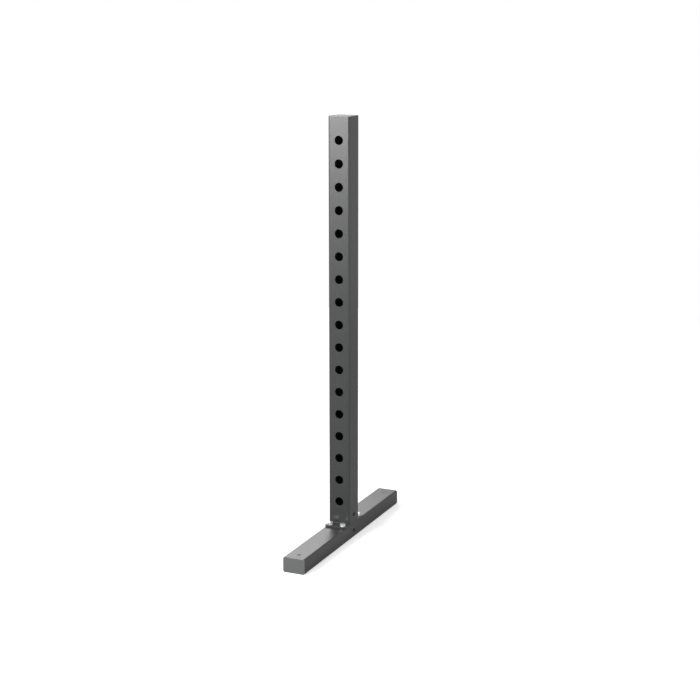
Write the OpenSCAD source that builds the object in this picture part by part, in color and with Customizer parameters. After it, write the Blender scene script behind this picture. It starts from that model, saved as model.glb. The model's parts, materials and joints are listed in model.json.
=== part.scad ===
// High jump standard: a drilled square post, bolted by its flange to a flat foot.
// X runs across the post, Y along the foot with the front at -Y, Z up from the floor.
// The origin is on the floor, in the middle of the foot.

/* [Upright] */
// Outside width of the square upright tube, which the flange and the foot share
post_w = 75; // [60:1:100]
// Wall of the upright tube
post_wall = 3; // [2:0.5:5]
// Outside corner radius of the upright tube
post_corner_r = 6; // [5.5:0.5:10]
// Cut length of the upright tube
post_len = 1350; // [600:5:2000]

/* [Peg holes] */
// Diameter of the peg holes
peg_d = 29; // [12:0.5:36]
// Spacing of the peg holes
peg_pitch = 75; // [50:1:150]
// From the upright's lower end to the centre of the lowest peg hole
peg_first = 75; // [60:1:150]
// Least distance from the centre of the highest peg hole to the upright's top end
peg_top_min = 70; // [40:1:150]

/* [Foot] */
// Outside height of the foot beam
foot_h = 50; // [40:1:80]
// Wall of the foot beam
foot_wall = 3; // [2:0.5:5]
// Outside corner radius of the foot beam
foot_corner_r = 6; // [5.5:0.5:10]
// Cut length of the foot beam
foot_len = 760; // [400:5:1200]

/* [Flange] */
// Thickness of the flange plate
flange_t = 6; // [4:0.5:12]
// How far the flange plate stands out in front of the upright and behind it
flange_overhang = 37.5; // [32:0.5:60]
// Corner radius of the flange plate
flange_corner_r = 8; // [3:0.5:12]
// Leg of the fillet welds in front of the upright and behind it
weld_leg = 4; // [2:0.5:6]
// Thickness of the welds at their toes
weld_toe = 0.25; // [0.1:0.05:0.5]

/* [Flange bolts] */
// Nominal diameter of the bolts
bolt_d = 10; // [8:1:12]
// Length of the bolts below the head
bolt_len = 25; // [20:1:35]
// Width of the bolt heads across their flats
bolt_af = 17; // [16:0.5:19]
// Height of the bolt heads
bolt_head_h = 6.4; // [5:0.1:8]
// Depth of the chamfer at the corners of the bolt heads
bolt_head_chamfer = 0.8; // [0.3:0.1:1]
// Diameter of the flat that the chamfer leaves on top of the bolt heads
bolt_top_d = 16; // [14:0.5:16]
// Distance of the bolts from the two nearest edges of the flange plate
bolt_edge = 15; // [13:0.5:17]
// How much wider the bolt holes are than the bolts
bolt_clearance = 1; // [0.5:0.1:2]
// Outside diameter of the washers
washer_d = 20; // [18:0.5:22]
// Thickness of the washers
washer_t = 2; // [1:0.1:3]
// How much wider the washers' holes are than the bolts
washer_clearance = 0.5; // [0.3:0.1:1]
// Thickness of the tapped plate inside the foot
nut_plate_t = 8; // [6:0.5:12]
// Gap between the tapped plate's long edges and the foot's rounded inner corners
nut_plate_gap = 0.5; // [0.2:0.1:2]
// Gap round the bolt in its tapped hole, which the threads fill
thread_gap = 0.2; // [0.1:0.05:0.4]

/* [Side holes] */
// Diameter of the bolt holes through the sides of the upright and the foot
side_hole_d = 13; // [8:0.5:16]
// From the top of the flange plate to the centre of the upright's side hole
side_hole_rise = 25; // [16:1:30]

/* [Floor fixing] */
// Diameter of the floor bolt holes through the foot
floor_hole_d = 11; // [8:0.5:12]
// From the foot beam's ends to the centres of the floor bolt holes
floor_hole_inset = 35; // [28:1:60]
// Diameter of the domed heads of the plugs in the floor bolt holes
plug_head_d = 14; // [13:0.5:18]
// Height of the domed heads
plug_head_h = 2.4; // [1.5:0.1:4]
// Length of the plug stems below the foot's top face
plug_stem_len = 9; // [6:0.5:14]
// Gap between a plug stem and its hole
plug_gap = 0.25; // [0.1:0.05:0.5]
// Wall of the hollow plug stems
plug_wall = 1.5; // [0.8:0.1:2]

/* [Tube caps] */
// Thickness of the caps' outer plates
cap_head_t = 2; // [1.5:0.5:6]
// Radius of the rounded rim of the caps' outer plates
cap_rim_r = 1; // [0.3:0.1:1.4]
// How far the caps reach into the tubes
cap_depth = 20; // [12:1:26]
// Wall of the caps' skirts
cap_wall = 2; // [1.5:0.5:3]
// Gap between a cap's skirt and the tube
cap_gap = 0.4; // [0.2:0.1:1]
// Gap between the snap ribs round a cap's skirt and the tube
cap_rib_gap = 0.1; // [0.05:0.05:0.15]
// Width of the snap ribs
cap_rib_w = 1.6; // [1:0.1:2.5]

/* [Hidden] */
$fn = 64;

// Paint and finishes as the photo shows them
paint_grey = "#4d4f4f";
cap_grey = "#757676";
zinc = "#c9cbcc";
bare_steel = "#8d8f90";
// Cutting tools run past the faces that they cut by this much
cut = 1;

// Heights of the faces that stack up from the floor
flange_z = foot_h;
post_z = flange_z + flange_t;
post_top_z = post_z + post_len;

// The peg holes, as many as the upright has room for
peg_count = floor((post_len - peg_first - peg_top_min) / peg_pitch) + 1;
peg_heights = [for (i = [0 : peg_count - 1]) post_z + peg_first + i * peg_pitch];

// The bolt pattern, the same distance in from every edge of the flange plate
flange_len = post_w + 2 * flange_overhang;
bolt_x = post_w / 2 - bolt_edge;
bolt_y = flange_len / 2 - bolt_edge;
bolt_places = [for (x = [-bolt_x, bolt_x], y = [-bolt_y, bolt_y]) [x, y]];

// The clear space inside the foot, between its rounded inner corners
foot_inner_r = foot_corner_r - foot_wall;
nut_plate_w = post_w - 2 * (foot_wall + foot_inner_r + nut_plate_gap);

// The floor bolt holes' distance from the middle of the foot
floor_hole_y = foot_len / 2 - floor_hole_inset;

// The snap ribs' places on a cap's skirt, as shares of its depth, and its least corner radius
rib_places = [0.35, 0.7];
least_skirt_r = 0.5;

// Rectangle with round corners, centred
module rounded_rect(w, d, r) {
    square([w, d - 2 * r], center = true);
    square([w - 2 * r, d], center = true);
    for (x = [-1, 1], y = [-1, 1])
        translate([x * (w / 2 - r), y * (d / 2 - r)]) circle(r);
}

// Rectangular tube along Z, standing on the XY plane
module tube(w, d, wall, r, length) {
    difference() {
        linear_extrude(length) rounded_rect(w, d, r);
        translate([0, 0, -cut])
            linear_extrude(length + 2 * cut)
                rounded_rect(w - 2 * wall, d - 2 * wall, r - wall);
    }
}

// Profile of a cap's outer plate at its rim: x runs out from the middle of the round corner
module rim_profile(r) {
    square([r - cap_rim_r, cap_head_t]);
    square([r, cap_head_t - cap_rim_r]);
    translate([r - cap_rim_r, cap_head_t - cap_rim_r]) circle(cap_rim_r);
}

// Outer plate of a cap, with a rounded rim
module cap_head(w, d, r) {
    flat_w = w - 2 * r;
    flat_d = d - 2 * r;
    for (x = [-1, 1], y = [-1, 1])
        translate([x * flat_w / 2, y * flat_d / 2, 0])
            rotate_extrude() intersection() {
                rim_profile(r);
                square([r, cap_head_t]);
            }
    for (side = [0, 180]) {
        rotate([0, 0, side]) translate([flat_w / 2, flat_d / 2, 0])
            rotate([90, 0, 0]) linear_extrude(flat_d) rim_profile(r);
        rotate([0, 0, side + 90]) translate([flat_d / 2, flat_w / 2, 0])
            rotate([90, 0, 0]) linear_extrude(flat_w) rim_profile(r);
    }
    translate([-flat_w / 2, -flat_d / 2, 0]) cube([flat_w, flat_d, cap_head_t]);
}

// Block that fills a tube's section but for a margin all round, its top face in the XY plane
module skirt(w, d, r, margin, depth) {
    translate([0, 0, -depth]) linear_extrude(depth)
        rounded_rect(w - 2 * margin, d - 2 * margin, max(r - margin, least_skirt_r));
}

// Cap for the end of a tube, its outer plate above the XY plane and its skirt below
module tube_cap(w, d, wall, r) {
    cap_head(w, d, r);
    difference() {
        union() {
            skirt(w, d, r, wall + cap_gap, cap_depth);
            for (share = rib_places)
                translate([0, 0, -cap_depth * share]) skirt(w, d, r, wall + cap_rib_gap, cap_rib_w);
        }
        translate([0, 0, -cut])
            skirt(w, d, r, wall + cap_gap + cap_wall, cap_depth);
    }
}

// The upright, with its peg holes from front to back and its side hole
module upright_tube() {
    color(paint_grey) difference() {
        translate([0, 0, post_z]) tube(post_w, post_w, post_wall, post_corner_r, post_len);
        for (z = peg_heights)
            translate([0, post_w / 2 + cut, z])
                rotate([90, 0, 0]) cylinder(d = peg_d, h = post_w + 2 * cut);
        side_bore(post_z + side_hole_rise);
    }
}

// A side hole, right through along X
module side_bore(z) {
    translate([-post_w / 2 - cut, 0, z])
        rotate([0, 90, 0]) cylinder(d = side_hole_d, h = post_w + 2 * cut);
}

module upright_top_cap() {
    color(cap_grey) translate([0, 0, post_top_z]) tube_cap(post_w, post_w, post_wall, post_corner_r);
}

// The plate welded under the upright
module base_flange() {
    color(paint_grey) translate([0, 0, flange_z]) difference() {
        linear_extrude(flange_t) rounded_rect(post_w, flange_len, flange_corner_r);
        for (p = bolt_places)
            translate([p[0], p[1], -cut]) cylinder(d = bolt_d + bolt_clearance, h = flange_t + 2 * cut);
    }
}

// Fillet weld along the upright's front face, in the corner that it makes with the flange plate
module fillet_weld() {
    weld_len = post_w - 2 * post_corner_r;
    color(paint_grey) translate([-weld_len / 2, -post_w / 2, post_z])
        rotate([90, 0, 90]) linear_extrude(weld_len)
            difference() {
                mirror([1, 0]) square(weld_leg);
                translate([-weld_leg, weld_leg]) circle(weld_leg - weld_toe);
            }
}

module weld_front() { fillet_weld(); }

module weld_rear() { mirror([0, 1, 0]) fillet_weld(); }

// The foot, with its bolt holes on top, its side hole and its floor bolt holes
module foot_beam() {
    color(paint_grey) difference() {
        translate([0, foot_len / 2, foot_h / 2])
            rotate([90, 0, 0]) tube(post_w, foot_h, foot_wall, foot_corner_r, foot_len);
        for (p = bolt_places)
            translate([p[0], p[1], foot_h - foot_wall - cut])
                cylinder(d = bolt_d + bolt_clearance, h = foot_wall + 2 * cut);
        for (y = [-floor_hole_y, floor_hole_y])
            translate([0, y, -cut]) cylinder(d = floor_hole_d, h = foot_h + 2 * cut);
        side_bore(foot_h / 2);
    }
}

// The foot's end cap, at its front end
module foot_end_cap() {
    color(cap_grey) translate([0, -foot_len / 2, foot_h / 2])
        rotate([90, 0, 0]) tube_cap(post_w, foot_h, foot_wall, foot_corner_r);
}

module foot_end_cap_front() { foot_end_cap(); }

module foot_end_cap_rear() { mirror([0, 1, 0]) foot_end_cap(); }

// The tapped plate against the inside of the foot's top wall
module nut_plate() {
    color(bare_steel) translate([0, 0, foot_h - foot_wall - nut_plate_t]) difference() {
        translate([-nut_plate_w / 2, -flange_len / 2, 0]) cube([nut_plate_w, flange_len, nut_plate_t]);
        for (p = bolt_places)
            translate([p[0], p[1], -cut]) cylinder(d = bolt_d + 2 * thread_gap, h = nut_plate_t + 2 * cut);
    }
}

// One bolt, its head standing on the XY plane
module bolt() {
    corner_d = bolt_af / cos(30);
    translate([0, 0, -bolt_len]) cylinder(d = bolt_d, h = bolt_len + bolt_head_h / 2);
    intersection() {
        cylinder(d = corner_d, h = bolt_head_h, $fn = 6);
        rotate_extrude() polygon([
            [0, 0], [corner_d / 2, 0], [corner_d / 2, bolt_head_h - bolt_head_chamfer],
            [bolt_top_d / 2, bolt_head_h], [0, bolt_head_h],
        ]);
    }
}

module flange_bolts() {
    color(zinc) for (p = bolt_places)
        translate([p[0], p[1], post_z + washer_t]) bolt();
}

module flange_washers() {
    color(zinc) for (p = bolt_places)
        translate([p[0], p[1], post_z]) difference() {
            cylinder(d = washer_d, h = washer_t);
            translate([0, 0, -cut]) cylinder(d = bolt_d + washer_clearance, h = washer_t + 2 * cut);
        }
}

// Push-in plug in the front floor bolt hole: a low dome on a hollow stem
module floor_hole_plug() {
    dome_r = (plug_head_d * plug_head_d / 4 + plug_head_h * plug_head_h) / (2 * plug_head_h);
    stem_r = floor_hole_d / 2 - plug_gap;
    color(cap_grey) translate([0, -floor_hole_y, foot_h]) {
        rotate_extrude() intersection() {
            translate([0, plug_head_h - dome_r]) circle(dome_r, $fn = 180);
            square([plug_head_d / 2, plug_head_h]);
        }
        translate([0, 0, -plug_stem_len]) difference() {
            cylinder(r = stem_r, h = plug_stem_len);
            translate([0, 0, -cut]) cylinder(r = stem_r - plug_wall, h = plug_stem_len - plug_wall + cut);
        }
    }
}

module floor_hole_plug_front() { floor_hole_plug(); }

module floor_hole_plug_rear() { mirror([0, 1, 0]) floor_hole_plug(); }

upright_tube();
upright_top_cap();
base_flange();
weld_front();
weld_rear();
foot_beam();
foot_end_cap_front();
foot_end_cap_rear();
nut_plate();
flange_bolts();
flange_washers();
floor_hole_plug_front();
floor_hole_plug_rear();
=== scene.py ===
"""High jump standard: the looks of a drilled square post, bolted by its flange to a flat foot."""

import json
import math

import bmesh
import bpy
from mathutils import Matrix, Vector


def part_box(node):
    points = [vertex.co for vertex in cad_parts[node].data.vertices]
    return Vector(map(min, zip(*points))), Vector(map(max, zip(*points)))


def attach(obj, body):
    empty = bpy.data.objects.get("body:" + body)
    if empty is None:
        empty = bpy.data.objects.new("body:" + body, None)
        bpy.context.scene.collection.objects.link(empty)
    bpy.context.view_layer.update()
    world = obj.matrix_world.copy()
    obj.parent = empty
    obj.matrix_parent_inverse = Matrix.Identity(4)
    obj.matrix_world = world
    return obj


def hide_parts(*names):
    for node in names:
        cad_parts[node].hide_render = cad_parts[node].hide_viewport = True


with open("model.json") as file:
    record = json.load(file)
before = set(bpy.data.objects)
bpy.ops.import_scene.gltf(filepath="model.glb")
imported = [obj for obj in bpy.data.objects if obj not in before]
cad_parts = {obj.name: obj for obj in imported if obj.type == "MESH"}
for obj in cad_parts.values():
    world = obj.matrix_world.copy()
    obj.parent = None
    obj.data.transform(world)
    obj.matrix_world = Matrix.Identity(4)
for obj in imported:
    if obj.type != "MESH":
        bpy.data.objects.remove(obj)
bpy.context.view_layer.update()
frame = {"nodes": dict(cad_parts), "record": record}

# Lengths are in metres, and written here in millimetres
MM = 0.001
X, Y, Z = 0, 1, 2

# Sections and sizes of the steel
TUBE_CORNER = 6 * MM
TUBE_WALL = 3 * MM
FLANGE_CORNER = 8 * MM
SIDE_HOLE = 13 * MM
FLOOR_HOLE = 11 * MM
BOLT_HOLE = 11 * MM

# Sizes of the bolts and washers
BOLT_DIAMETER = 10 * MM
BOLT_FLATS = 17 * MM
BOLT_TOP = 16 * MM
BOLT_CHAMFER = 0.8 * MM
BOLT_COLLAR = 0.4 * MM
BOLT_COLLAR_DIAMETER = 16.4 * MM
BOLT_DISH = 0.15 * MM
BOLT_RIM = 1.2 * MM
SHANK_CHAMFER = 0.8 * MM
BOLT_EDGE = 15 * MM
WASHER_DIAMETER = 20 * MM
WASHER_HOLE = 10.5 * MM

# Sizes of the caps and plugs
CAP_PLATE = 2 * MM
CAP_RIM = 1 * MM
CAP_GAP = 0.4 * MM
CAP_WALL = 2 * MM
PLUG_HEAD = 14 * MM
PLUG_GAP = 0.25 * MM
PLUG_WALL = 1.5 * MM

# Edges, as the coat, the press and the mould round them
COATED_EDGE = 0.6 * MM
PRESSED_EDGE = 0.2 * MM
MOULDED_EDGE = 0.3 * MM

# How finely round shapes are cut: the sides of holes, bars and discs, and the steps of rounded edges
ROUND_SIDES = 64
FINE_SIDES = 96
CORNER_STEPS = 8
RIM_STEPS = 4
EDGE_STEPS = 3
BOLT_EDGE_STEPS = 2

# Faces that meet at less than this, in degrees, are shaded as one
SMOOTH_UNDER = 35

# How much longer a drill is than the hole that it cuts
OVERCUT = 2 * MM
# Places closer than this are taken as the same
TINY = 0.01 * MM
# A cut through a mesh joins what lies this close to it
SEAM = 0.001 * MM
# A direction's share of an axis is over ALONG where it runs along it, and under SQUARE where it crosses it
ALONG = 0.999
SQUARE = 0.01

# The construction's own places
post_low, post_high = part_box("upright_tube")
foot_low, foot_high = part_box("foot_beam")
flange_low, flange_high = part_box("base_flange")
washer_low, washer_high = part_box("flange_washers")
bolt_low, bolt_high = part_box("flange_bolts")
half_width = post_high.x
bolt_x, bolt_y = flange_high.x - BOLT_EDGE, flange_high.y - BOLT_EDGE
bolt_places = [Vector((x, y, 0)) for x in (-bolt_x, bolt_x) for y in (-bolt_y, bolt_y)]
mounts = {mount["name"]: mount for mount in frame["record"]["mounts"]}
# The side holes' mount lies midway between the post's hole and the foot's
post_side_hole_height = 2 * mounts["side_bracket_holes"]["pos_m"][Z] - foot_high.z / 2


def activate(*pieces):
    """Selects these pieces and nothing else."""
    bpy.ops.object.select_all(action="DESELECT")
    for piece in pieces:
        piece.select_set(True)
    bpy.context.view_layer.objects.active = pieces[0]


def settle(name):
    """Names the primitive that was added last, and puts its place in its mesh."""
    piece = bpy.context.object
    piece.name = piece.data.name = name
    activate(piece)
    bpy.ops.object.transform_apply(location=True, rotation=True, scale=True)
    return piece


def block(name, low, high):
    """A block between two corners."""
    low, high = Vector(low), Vector(high)
    bpy.ops.object.select_all(action="DESELECT")
    bpy.ops.mesh.primitive_cube_add(size=1, location=(low + high) / 2, scale=high - low)
    return settle(name)


def rod(name, start, end, diameter, sides=ROUND_SIDES):
    """A bar from one point to another, round or with a few flats."""
    start, end = Vector(start), Vector(end)
    bpy.ops.object.select_all(action="DESELECT")
    bpy.ops.mesh.primitive_cylinder_add(
        vertices=sides,
        radius=diameter / 2,
        depth=(end - start).length,
        location=(start + end) / 2,
        rotation=(end - start).to_track_quat("Z", "Y").to_euler(),
    )
    return settle(name)


def shape(piece, kind, test, operator, **settings):
    """Runs an edit mode operator on those of a piece's vertices, edges or faces that pass the test."""
    activate(piece)
    bpy.ops.object.mode_set(mode="EDIT")
    bpy.ops.mesh.select_mode(type=kind)
    bpy.ops.mesh.select_all(action="DESELECT")
    mesh = bmesh.from_edit_mesh(piece.data)
    for part in {"VERT": mesh.verts, "EDGE": mesh.edges, "FACE": mesh.faces}[kind]:
        part.select_set(bool(test(part)))
    mesh.select_flush_mode()
    bmesh.update_edit_mesh(piece.data)
    operator(**settings)
    bpy.ops.object.mode_set(mode="OBJECT")


def extrude(piece, test, move):
    """Draws out the faces that pass the test."""
    pull = {"value": move}
    shape(piece, "FACE", test, bpy.ops.mesh.extrude_region_move, TRANSFORM_OT_translate=pull)


def modify(piece, kind, **settings):
    """Adds a modifier and applies it."""
    activate(piece)
    modifier = piece.modifiers.new(kind.lower(), kind)
    for name, value in settings.items():
        setattr(modifier, name, value)
    bpy.ops.object.modifier_apply(modifier=modifier.name)


def combine(piece, tool, operation):
    """Cuts the tool from the piece, keeps what they share, or joins the two."""
    modify(piece, "BOOLEAN", object=tool, operation=operation, solver="EXACT")
    bpy.data.objects.remove(tool)


def anything(part):
    """Picks every part."""
    return True


def runs_along(axis):
    """Picks edges that run along an axis."""
    return lambda edge: abs((edge.verts[0].co - edge.verts[1].co).normalized()[axis]) > ALONG


def looks_along(axis, way=None):
    """Picks faces that look along an axis, both ways or one way."""
    if way is None:
        return lambda face: abs(face.normal[axis]) > ALONG
    return lambda face: face.normal[axis] * way > ALONG


def lies_at(axis, place):
    """Picks edges or faces with all their corners at a place on an axis."""
    return lambda part: all(abs(corner.co[axis] - place) < TINY for corner in part.verts)


def looks_from(axis, way, place):
    """Picks faces that look one way along an axis and lie at a place on it."""
    looks, lies = looks_along(axis, way), lies_at(axis, place)
    return lambda face: looks(face) and lies(face)


def is_underside(face):
    """Picks the middle face of those that look down: it has many corners, and its neighbours have four."""
    return face.normal.z < -ALONG and len(face.verts) > 4


def swell_band(piece, low, high, height):
    """Draws out, square to themselves, the upright faces between two levels."""
    is_band = lambda face: abs(face.normal.z) < SQUARE and all(
        low - TINY < corner.co.z < high + TINY for corner in face.verts
    )
    swell = {"value": height}
    operator = bpy.ops.mesh.extrude_region_shrink_fatten
    shape(piece, "FACE", is_band, operator, TRANSFORM_OT_shrink_fatten=swell)


def drill(piece, holes):
    """Cuts round holes. Each is given by its centre, its axis, its diameter and its length."""
    tools = []
    for centre, axis, diameter, length in holes:
        half = Vector([length / 2 if i == axis else 0 for i in (X, Y, Z)])
        tools.append(rod("drill", Vector(centre) - half, Vector(centre) + half, diameter))
    activate(*tools)
    bpy.ops.object.join()
    combine(piece, tools[0], "DIFFERENCE")


def round_rims(piece, holes, width):
    """Rounds the rims of round holes where they come out of the piece's outer faces."""
    ends = [Vector(corner) for corner in (piece.bound_box[0], piece.bound_box[6])]

    def is_rim(edge):
        for centre, axis, diameter, _ in holes:
            across = [i for i in (X, Y, Z) if i != axis]
            if all(
                abs(math.hypot(*[corner.co[i] - centre[i] for i in across]) - diameter / 2) < TINY
                and min(abs(corner.co[axis] - end[axis]) for end in ends) < TINY
                for corner in edge.verts
            ):
                return True
        return False

    shape(piece, "EDGE", is_rim, bpy.ops.mesh.bevel, offset=width, segments=EDGE_STEPS)


def finish_piece(piece, material, node, smooth_under=SMOOTH_UNDER):
    """Shades a piece, gives it its finish, and lets it stand for its CAD node."""
    activate(piece)
    bpy.ops.object.shade_smooth_by_angle(angle=math.radians(smooth_under))
    modify(piece, "WEIGHTED_NORMAL", keep_sharp=True)
    piece.data.materials.clear()
    piece.data.materials.append(material)
    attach(piece, "root")
    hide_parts(node)


def tube(name, low, high, axis):
    """A rectangular tube with round corners, open at both ends."""
    piece = block(name, low, high)
    corner = {"offset": TUBE_CORNER, "segments": CORNER_STEPS}
    shape(piece, "EDGE", runs_along(axis), bpy.ops.mesh.bevel, **corner)
    shape(piece, "FACE", looks_along(axis), bpy.ops.mesh.delete, type="ONLY_FACE")
    modify(piece, "SOLIDIFY", thickness=TUBE_WALL, offset=-1, use_even_offset=True)
    return piece


def make_post(paint):
    """The upright: a square tube with its peg holes from front to back, and its side hole."""
    piece = tube("post", post_low, post_high, Z)
    through = 2 * half_width + OVERCUT
    holes = [
        (mount["pos_m"], Y, 2 * mount["dims"]["r_mm"] * MM, through)
        for name, mount in mounts.items()
        if name.startswith("peg_hole")
    ]
    holes.append(((0, 0, post_side_hole_height), X, SIDE_HOLE, through))
    drill(piece, holes)
    round_rims(piece, holes, COATED_EDGE)
    finish_piece(piece, paint, "upright_tube")


def make_foot(paint):
    """The foot: a flat tube with holes for the flange's bolts, a side hole and two floor bolt holes."""
    piece = tube("foot", foot_low, foot_high, Y)
    top_wall = Vector((0, 0, foot_high.z - TUBE_WALL / 2))
    holes = [(place + top_wall, Z, BOLT_HOLE, TUBE_WALL + OVERCUT) for place in bolt_places]
    for plug in ("floor_hole_plug_front", "floor_hole_plug_rear"):
        middle = sum(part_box(plug), Vector()) / 2
        holes.append(((0, middle.y, foot_high.z / 2), Z, FLOOR_HOLE, foot_high.z + OVERCUT))
    side_hole = ((0, 0, foot_high.z / 2), X, SIDE_HOLE, 2 * half_width + OVERCUT)
    drill(piece, holes + [side_hole])
    round_rims(piece, [side_hole], COATED_EDGE)
    finish_piece(piece, paint, "foot_beam")


def make_flange(paint):
    """The plate under the upright, its edges softened by the coat."""
    piece = block("flange", flange_low, flange_high)
    corner = {"offset": FLANGE_CORNER, "segments": CORNER_STEPS}
    edge = {"offset": COATED_EDGE, "segments": EDGE_STEPS}
    shape(piece, "EDGE", runs_along(Z), bpy.ops.mesh.bevel, **corner)
    for level in (flange_low.z, flange_high.z):
        shape(piece, "EDGE", lies_at(Z, level), bpy.ops.mesh.bevel, **edge)
    middle = Vector((0, 0, (flange_low.z + flange_high.z) / 2))
    thickness = flange_high.z - flange_low.z
    drill(piece, [(place + middle, Z, BOLT_HOLE, thickness + OVERCUT) for place in bolt_places])
    finish_piece(piece, paint, "base_flange")


# The weld beads: the radius of the shallow arc across the corner, how far it stands out of the corner, how
# finely it is cut, the length over which the bead sinks away at its ends, and the angle for its shading
BEAD_CURVE = 12 * MM
BEAD_THROAT = 2.2 * MM
BEAD_SIDES = 128
BEAD_END = 5 * MM
BEAD_SMOOTH_UNDER = 60
# The ripples that the torch leaves along a bead: their length, the rings that each is cut in, their height
# as a share of the throat, and how far they lean, in degrees
RIPPLE_LENGTH = 2.8 * MM
RIPPLE_RINGS = 4
RIPPLE_HEIGHT = 0.12
RIPPLE_LEAN = 45
# How unsteady the hand was: the size of two slow waves as a share of the throat, and their rates per ripple
BEAD_WANDER = 0.05
WANDER_RATES = (0.9, 0.37)


def bead_radius(place, length):
    """The radius of the bead's ring at a place along it: rippled, unsteady, and less at either end."""
    ripple = (place / RIPPLE_LENGTH) % 1
    waves = [math.sin(place * rate / RIPPLE_LENGTH + i) for i, rate in enumerate(WANDER_RATES)]
    from_end = max(min(place, length - place) / BEAD_END, 0)
    taper = math.sqrt(1 - (1 - min(from_end, 1)) ** 2)
    throat = BEAD_THROAT * taper * (1 + RIPPLE_HEIGHT * (ripple - 0.5) + BEAD_WANDER * sum(waves))
    return BEAD_CURVE - BEAD_THROAT + throat


def make_weld(name, node, side, paint):
    """The fillet weld along the upright's front, or its back: one bead of leaning ripples, painted over."""
    low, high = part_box(node)
    length = high.x - low.x
    steps = round(length / RIPPLE_LENGTH) * RIPPLE_RINGS
    step = length / steps
    lean_angle = math.radians(RIPPLE_LEAN)
    core = BEAD_CURVE - BEAD_THROAT
    depth = core * math.sqrt(0.5)
    corner = Vector((low.x, side * half_width, flange_high.z))
    start = corner - Vector((core * math.tan(lean_angle), side * depth, depth))
    lean = Matrix.Rotation(lean_angle, 3, Vector((0, 1, -side)))
    upright_ring = Matrix.Rotation(math.radians(90), 3, "Y")
    bpy.ops.object.select_all(action="DESELECT")
    bpy.ops.mesh.primitive_circle_add(
        vertices=BEAD_SIDES,
        radius=bead_radius(0, length) / math.cos(lean_angle),
        fill_type="NGON",
        location=start,
        rotation=(lean @ upright_ring).to_euler(),
    )
    piece = settle(name)
    activate(piece)
    bpy.ops.object.mode_set(mode="EDIT")
    bpy.ops.mesh.select_all(action="SELECT")
    for i in range(steps):
        swell = bead_radius((i + 1) * step, length) / bead_radius(i * step, length)
        bpy.ops.mesh.extrude_region_move(TRANSFORM_OT_translate={"value": (step, 0, 0)})
        bpy.ops.transform.resize(
            value=(swell, swell, swell), center_override=start + Vector(((i + 1) * step, 0, 0))
        )
    for plane_normal in ((0, side, 0), (0, 0, 1)):
        bpy.ops.mesh.select_all(action="SELECT")
        bpy.ops.mesh.bisect(
            plane_co=corner, plane_no=plane_normal, use_fill=True, clear_inner=True, threshold=SEAM
        )
    bpy.ops.mesh.select_all(action="SELECT")
    bpy.ops.mesh.normals_make_consistent(inside=False)
    bpy.ops.object.mode_set(mode="OBJECT")
    finish_piece(piece, paint, node, smooth_under=BEAD_SMOOTH_UNDER)


# The caps' snap ribs: where each starts, as a share of the skirt's depth, and their size
RIB_PLACES = (0.35, 0.7)
RIB_WIDTH = 1.6 * MM
RIB_HEIGHT = 0.3 * MM


def make_cap(name, node, depth, skirt_depth, place, turn, plastic):
    """A tube's push-in cap: a plate with a rounded rim, and a hollow skirt with two snap ribs."""
    half = Vector((half_width, depth / 2, 0))
    piece = block(name, -half, half + Vector((0, 0, CAP_PLATE)))
    corner = {"offset": TUBE_CORNER, "segments": CORNER_STEPS}
    rim = {"offset": CAP_RIM, "segments": RIM_STEPS}
    shape(piece, "EDGE", runs_along(Z), bpy.ops.mesh.bevel, **corner)
    shape(piece, "EDGE", lies_at(Z, CAP_PLATE), bpy.ops.mesh.bevel, **rim)
    shape(piece, "FACE", is_underside, bpy.ops.mesh.inset, thickness=TUBE_WALL + CAP_GAP)
    level = 0
    for rib_place in RIB_PLACES:
        rib_top = -skirt_depth * rib_place
        extrude(piece, is_underside, (0, 0, rib_top - level))
        extrude(piece, is_underside, (0, 0, -RIB_WIDTH))
        level = rib_top - RIB_WIDTH
        swell_band(piece, level, rib_top, RIB_HEIGHT)
    extrude(piece, is_underside, (0, 0, -skirt_depth - level))
    shape(piece, "FACE", is_underside, bpy.ops.mesh.inset, thickness=CAP_WALL)
    extrude(piece, is_underside, (0, 0, skirt_depth))
    piece.location = place
    piece.rotation_euler = (math.radians(turn), 0, 0)
    activate(piece)
    bpy.ops.object.transform_apply(location=True, rotation=True, scale=True)
    finish_piece(piece, plastic, node)


def make_bolt():
    """A hexagon bolt at the origin of the pattern: a chamfered, dished head on a collar, and its shank."""
    seat, top = washer_high.z, bolt_high.z
    corner_radius = BOLT_FLATS / math.sqrt(3)
    piece = rod("bolt", (0, 0, seat + BOLT_COLLAR), (0, 0, top), 2 * corner_radius, sides=6)
    # Two of its flats look along the foot
    piece.rotation_euler = (0, 0, math.radians(30))
    activate(piece)
    bpy.ops.object.transform_apply(location=True, rotation=True, scale=True)
    flare = (corner_radius - BOLT_TOP / 2) / BOLT_CHAMFER * (top - seat)
    bpy.ops.object.select_all(action="DESELECT")
    bpy.ops.mesh.primitive_cone_add(
        vertices=FINE_SIDES,
        radius1=BOLT_TOP / 2 + flare,
        radius2=BOLT_TOP / 2,
        depth=top - seat,
        location=(0, 0, (seat + top) / 2),
    )
    combine(piece, settle("chamfer"), "INTERSECT")
    modify(
        piece,
        "BEVEL",
        width=PRESSED_EDGE,
        segments=BOLT_EDGE_STEPS,
        limit_method="ANGLE",
        angle_limit=math.radians(SMOOTH_UNDER),
        use_clamp_overlap=True,
    )
    is_top = looks_from(Z, 1, top)
    shape(piece, "FACE", is_top, bpy.ops.mesh.inset, thickness=BOLT_RIM, depth=-BOLT_DISH)
    collar = rod("collar", (0, 0, seat), (0, 0, seat + 2 * BOLT_COLLAR), BOLT_COLLAR_DIAMETER)
    combine(piece, collar, "UNION")
    shank = rod("shank", (0, 0, bolt_low.z), (0, 0, seat + 2 * BOLT_COLLAR), BOLT_DIAMETER)
    shape(shank, "EDGE", lies_at(Z, bolt_low.z), bpy.ops.mesh.bevel, offset=SHANK_CHAMFER, segments=1)
    combine(piece, shank, "UNION")
    return piece


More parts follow.
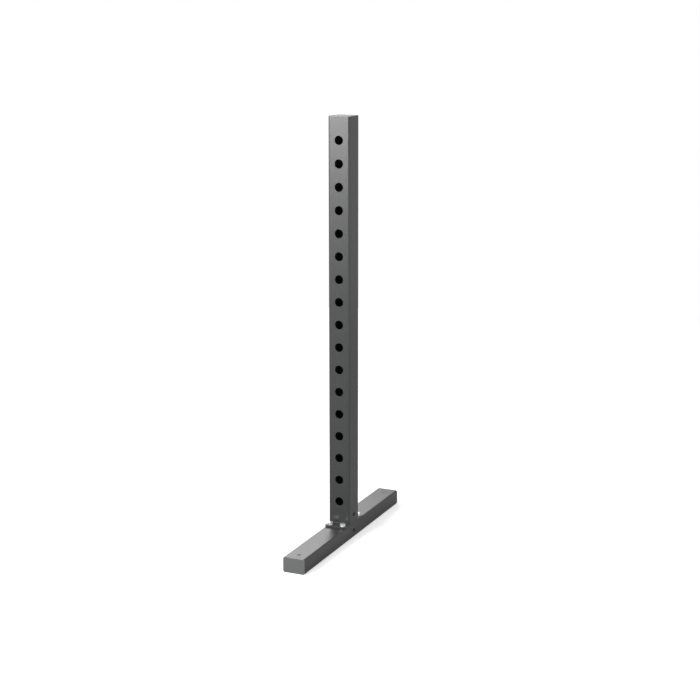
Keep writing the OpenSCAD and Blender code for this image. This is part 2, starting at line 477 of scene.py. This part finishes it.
def make_washer():
    """A punched flat washer at the origin of the pattern, with its rim rounded by the punch."""
    low, high = Vector((0, 0, washer_low.z)), Vector((0, 0, washer_high.z))
    piece = rod("washer", low, high, WASHER_DIAMETER)
    edge = {"offset": PRESSED_EDGE, "segments": EDGE_STEPS}
    for level in (low.z, high.z):
        shape(piece, "EDGE", lies_at(Z, level), bpy.ops.mesh.bevel, **edge)
    drill(piece, [((low + high) / 2, Z, WASHER_HOLE, 2 * (high.z - low.z))])
    return piece


def repeat_at_bolts(piece, name, material, node):
    """Copies a piece to each bolt place, and finishes the copies."""
    for number, place in enumerate(bolt_places, 1):
        copy = bpy.data.objects.new(f"{name}_{number}", piece.data.copy())
        bpy.context.scene.collection.objects.link(copy)
        copy.location = place
        activate(copy)
        bpy.ops.object.transform_apply(location=True, rotation=True, scale=True)
        finish_piece(copy, material, node)
    bpy.data.objects.remove(piece)


def make_plug(name, node, plastic):
    """A push-in plug in a floor bolt hole: a low dome with a soft rim, on a hollow stem."""
    low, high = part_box(node)
    seat = foot_high.z
    rise = high.z - seat
    centre = Vector((0, (low.y + high.y) / 2, seat))
    ball_radius = (PLUG_HEAD**2 / 4 + rise**2) / (2 * rise)
    bpy.ops.object.select_all(action="DESELECT")
    bpy.ops.mesh.primitive_uv_sphere_add(
        segments=ROUND_SIDES,
        ring_count=FINE_SIDES,
        radius=ball_radius,
        location=(0, centre.y, high.z - ball_radius),
    )
    piece = settle(name)
    up = {"plane_co": centre, "plane_no": (0, 0, 1), "use_fill": True, "clear_inner": True}
    edge = {"offset": MOULDED_EDGE, "segments": EDGE_STEPS}
    shape(piece, "FACE", anything, bpy.ops.mesh.bisect, threshold=SEAM, **up)
    shape(piece, "EDGE", lies_at(Z, seat), bpy.ops.mesh.bevel, **edge)
    stem_radius = FLOOR_HOLE / 2 - PLUG_GAP
    seat_radius = PLUG_HEAD / 2 - MOULDED_EDGE
    shape(piece, "FACE", is_underside, bpy.ops.mesh.inset, thickness=seat_radius - stem_radius)
    extrude(piece, is_underside, (0, 0, low.z - seat))
    shape(piece, "FACE", is_underside, bpy.ops.mesh.inset, thickness=PLUG_WALL)
    extrude(piece, is_underside, (0, 0, seat - low.z - PLUG_WALL))
    finish_piece(piece, plastic, node)


# Camera: a little over the post's top, turned to see its right side, and tipped down to take in the foot
CAMERA_PLACE = (1.951, -4.313, 1.705)
CAMERA_PAN = 24.09
CAMERA_TIP = 10.77
CAMERA_LENS = 75.8
CAMERA_SHIFT = -0.07


def add_camera():
    """The camera, and the scene's view through it."""
    data = bpy.data.cameras.new("camera")
    data.lens = CAMERA_LENS
    data.shift_y = CAMERA_SHIFT
    camera = bpy.data.objects.new("camera", data)
    camera.location = CAMERA_PLACE
    camera.rotation_euler = (math.radians(90 - CAMERA_TIP), 0, math.radians(CAMERA_PAN))
    bpy.context.scene.collection.objects.link(camera)
    bpy.context.scene.camera = camera


def linear(hex_colour):
    """An sRGB hex colour as the linear colour that a shader takes."""
    shares = [int(hex_colour[i : i + 2], 16) / 255 for i in (1, 3, 5)]
    return (*[s / 12.92 if s <= 0.04045 else ((s + 0.055) / 1.055) ** 2.4 for s in shares], 1)


def add_node(tree, kind, inputs=None, **settings):
    """Adds a shader node. Each of its inputs takes a value or another node's output."""
    made = tree.nodes.new("ShaderNode" + kind)
    for name, value in settings.items():
        setattr(made, name, value)
    for socket, value in (inputs or {}).items():
        if isinstance(value, bpy.types.NodeSocket):
            tree.links.new(value, made.inputs[socket])
        else:
            made.inputs[socket].default_value = value
    return made


def new_material(name):
    """An empty material's node tree, and its Object coordinates."""
    material = bpy.data.materials.new(name)
    material.use_nodes = True
    material.node_tree.nodes.clear()
    place = add_node(material.node_tree, "TexCoord").outputs["Object"]
    return material, material.node_tree, place


def powder_coat():
    """Satin polyester powder coat on steel: a flat sheen over a fine orange peel."""
    material, tree, place = new_material("satin_powder_coat")
    film = add_node(tree, "TexNoise", {"Vector": place, "Scale": 1 / (60 * MM), "Detail": 3.0})
    colour = add_node(
        tree, "Mix", {0: film.outputs["Fac"], 6: linear("#2a2b2b"), 7: linear("#2e2f2f")}, data_type="RGBA"
    )
    peel = add_node(tree, "TexNoise", {"Vector": place, "Scale": 1 / (2.5 * MM), "Detail": 2.0})
    gloss = add_node(
        tree, "MapRange", {"Value": film.outputs["Fac"], "To Min": 0.36, "To Max": 0.40}
    )
    bump = add_node(tree, "Bump", {"Height": peel.outputs["Fac"], "Distance": 0.06 * MM, "Strength": 1.0})
    shader = add_node(
        tree,
        "BsdfPrincipled",
        {
            "Base Color": colour.outputs[2],
            "Roughness": gloss.outputs["Result"],
            "IOR": 1.5,
            "Normal": bump.outputs["Normal"],
        },
    )
    add_node(tree, "OutputMaterial", {"Surface": shader.outputs[0]})
    return material


def cap_plastic():
    """Moulded polyethylene of the caps and plugs: lighter than the paint, with a fine spark-eroded grain."""
    material, tree, place = new_material("moulded_polyethylene")
    grain = add_node(tree, "TexNoise", {"Vector": place, "Scale": 1 / (0.8 * MM), "Detail": 3.0})
    colour = add_node(
        tree, "Mix", {0: grain.outputs["Fac"], 6: linear("#585959"), 7: linear("#5f6060")}, data_type="RGBA"
    )
    bump = add_node(tree, "Bump", {"Height": grain.outputs["Fac"], "Distance": 0.03 * MM, "Strength": 1.0})
    shader = add_node(
        tree,
        "BsdfPrincipled",
        {"Base Color": colour.outputs[2], "Roughness": 0.38, "IOR": 1.51, "Normal": bump.outputs["Normal"]},
    )
    add_node(tree, "OutputMaterial", {"Surface": shader.outputs[0]})
    return material


def zinc_plate():
    """Bright zinc plating on the bolts and washers."""
    material, tree, place = new_material("bright_zinc_plate")
    bloom = add_node(tree, "TexNoise", {"Vector": place, "Scale": 1 / (4 * MM), "Detail": 3.0})
    colour = add_node(
        tree, "Mix", {0: bloom.outputs["Fac"], 6: linear("#dcdfe2"), 7: linear("#e6e6e3")}, data_type="RGBA"
    )
    gloss = add_node(
        tree, "MapRange", {"Value": bloom.outputs["Fac"], "To Min": 0.34, "To Max": 0.48}
    )
    shader = add_node(
        tree,
        "BsdfPrincipled",
        {"Base Color": colour.outputs[2], "Metallic": 1.0, "Roughness": gloss.outputs["Result"]},
    )
    add_node(tree, "OutputMaterial", {"Surface": shader.outputs[0]})
    return material


def bare_steel():
    """Mill-finish flat bar of the tapped plate: dull grey, drawn along its length."""
    material, tree, place = new_material("mill_finish_steel")
    stretched = add_node(tree, "Mapping", {"Vector": place, "Scale": (1, 0.05, 1)})
    drawn = add_node(
        tree, "TexNoise", {"Vector": stretched.outputs[0], "Scale": 1 / (1.5 * MM), "Detail": 4.0}
    )
    colour = add_node(
        tree, "Mix", {0: drawn.outputs["Fac"], 6: linear("#77797a"), 7: linear("#8f9192")}, data_type="RGBA"
    )
    shader = add_node(
        tree, "BsdfPrincipled", {"Base Color": colour.outputs[2], "Metallic": 1.0, "Roughness": 0.45}
    )
    add_node(tree, "OutputMaterial", {"Surface": shader.outputs[0]})
    return material


# How much of the white background gloss shows. The photographed dark sides mirror a greyer floor.
GLOSS_SHARE = 0.3
# What the floor shows over and above the light that falls on it: by the object, and at its far edge
FLOOR_LIFT = 0.44
FAR_FLOOR_LIFT = 0.75
FLOOR_RADIUS = 4.0
# How bright the studio's walls are as a light, at the left and at the right
LEFT_WALL = 0.3
RIGHT_WALL = 0.75


def background_share(tree):
    """1 for the rays that see the studio as plain white, and a share of it for those off a gloss."""
    rays = add_node(tree, "LightPath")
    gloss = add_node(
        tree,
        "Math",
        {0: rays.outputs["Is Glossy Ray"], 1: GLOSS_SHARE, 2: rays.outputs["Is Camera Ray"]},
        operation="MULTIPLY_ADD",
    )
    return add_node(
        tree,
        "Math",
        {0: gloss.outputs[0], 1: rays.outputs["Is Transmission Ray"]},
        operation="ADD",
        use_clamp=True,
    ).outputs[0]


def studio_floor():
    """Pale floor: grey as a light, and lifted to white where it is seen, with the object's shadow on it."""
    material, tree, place = new_material("studio_floor")
    reach = add_node(tree, "VectorMath", {0: place}, operation="LENGTH")
    lift = add_node(
        tree,
        "MapRange",
        {
            "Value": reach.outputs["Value"],
            "From Max": FLOOR_RADIUS,
            "To Min": FLOOR_LIFT,
            "To Max": FAR_FLOOR_LIFT,
        },
    )
    share = background_share(tree)
    seen = add_node(tree, "Math", {0: share, 1: lift.outputs[0]}, operation="MULTIPLY")
    colour = add_node(
        tree, "Mix", {0: share, 6: linear("#969696"), 7: linear("#e7e7e7")}, data_type="RGBA"
    )
    diffuse = add_node(tree, "BsdfDiffuse", {"Color": colour.outputs[2]})
    glow = add_node(tree, "Emission", {"Strength": seen.outputs[0]})
    both = add_node(tree, "AddShader", {0: diffuse.outputs[0], 1: glow.outputs[0]})
    add_node(tree, "OutputMaterial", {"Surface": both.outputs[0]})
    return material


def add_floor():
    """A round floor, under the object and far behind it."""
    bpy.ops.mesh.primitive_circle_add(vertices=FINE_SIDES, radius=FLOOR_RADIUS, fill_type="NGON")
    floor = bpy.context.object
    floor.name = "studio_floor"
    floor.data.materials.append(studio_floor())


def add_world():
    """Soft light from all round, stronger from the right, and white where it is seen."""
    world = bpy.data.worlds.new("studio")
    world.use_nodes = True
    bpy.context.scene.world = world
    tree = world.node_tree
    tree.nodes.clear()
    direction = add_node(tree, "TexCoord").outputs["Generated"]
    side = add_node(tree, "SeparateXYZ", {0: direction}).outputs["X"]
    level = add_node(
        tree,
        "MapRange",
        {"Value": side, "From Min": -1.0, "From Max": 1.0, "To Min": LEFT_WALL, "To Max": RIGHT_WALL},
    )
    strength = add_node(
        tree, "Mix", {0: background_share(tree), 2: level.outputs[0], 3: 1.0}, data_type="FLOAT"
    )
    shader = add_node(tree, "Background", {"Color": (1, 1, 1, 1), "Strength": strength.outputs[0]})
    add_node(tree, "OutputWorld", {"Surface": shader.outputs[0]})


def add_softbox(name, place, aim, width, height, radiance, spread=180):
    """A rectangular lamp, hidden from the camera. A spread under 180 degrees is a grid in front of it."""
    data = bpy.data.lights.new(name, "AREA")
    data.shape = "RECTANGLE"
    data.size, data.size_y = width, height
    data.energy = radiance * math.pi * width * height
    data.spread = math.radians(spread)
    lamp = bpy.data.objects.new(name, data)
    lamp.location = place
    lamp.rotation_euler = (Vector(place) - Vector(aim)).to_track_quat("Z", "Y").to_euler()
    lamp.visible_camera = False
    bpy.context.scene.collection.objects.link(lamp)


def add_lamps():
    """The key light from the front left, and three weak fills."""
    # Each is given by its place, what it looks at, its width, its height and its radiance.
    # The key stands near the top of the post, whose front grows darker towards the foot
    add_softbox("front_left_softbox", (-1.086, -2.236, 1.737), (0, 0, 1.2), 1.45, 1.14, 19.7)
    # Lights the top of the foot behind the post
    add_softbox("back_left_softbox", (-1.3, 2.4, 1.75), (0, 0, 0.1), 1.0, 1.2, 0.54, spread=50)
    # These two keep the right side, and the corner beside it, from going dark
    add_softbox("camera_side_softbox", (2.2, -4.6, 2.2), (0, 0, 0.8), 3.0, 2.0, 0.6)
    add_softbox("right_fill_softbox", (2.9, -1.6, 0.7), (0, 0, 0.6), 2.0, 1.4, 3.2)


def dress(node, material):
    """Gives a CAD node its material."""
    piece = frame["nodes"][node]
    piece.data.materials.clear()
    piece.data.materials.append(material)


# The welded and bolted steel
paint, plastic, zinc, steel = powder_coat(), cap_plastic(), zinc_plate(), bare_steel()
make_post(paint)
make_foot(paint)
make_flange(paint)
make_weld("weld_bead_front", "weld_front", -1, paint)
make_weld("weld_bead_rear", "weld_rear", 1, paint)

# The caps in the tubes' ends
top_cap_low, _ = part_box("upright_top_cap")
_, front_cap_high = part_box("foot_end_cap_front")
post_width, foot_height = post_high.y - post_low.y, foot_high.z - foot_low.z
foot_middle = foot_height / 2
make_cap(
    "top_cap", "upright_top_cap", post_width, post_high.z - top_cap_low.z, (0, 0, post_high.z), 0, plastic
)
end_skirt = front_cap_high.y - foot_low.y
front_end, rear_end = (0, foot_low.y, foot_middle), (0, foot_high.y, foot_middle)
make_cap("foot_cap_front", "foot_end_cap_front", foot_height, end_skirt, front_end, 90, plastic)
make_cap("foot_cap_rear", "foot_end_cap_rear", foot_height, end_skirt, rear_end, -90, plastic)

# The fasteners, the plugs, and the tapped plate inside the foot
repeat_at_bolts(make_bolt(), "bolt", zinc, "flange_bolts")
repeat_at_bolts(make_washer(), "washer", zinc, "flange_washers")
make_plug("plug_front", "floor_hole_plug_front", plastic)
make_plug("plug_rear", "floor_hole_plug_rear", plastic)
dress("nut_plate", steel)

# The studio
bpy.context.scene.view_settings.view_transform = "Standard"
add_camera()
add_floor()
add_world()
add_lamps()
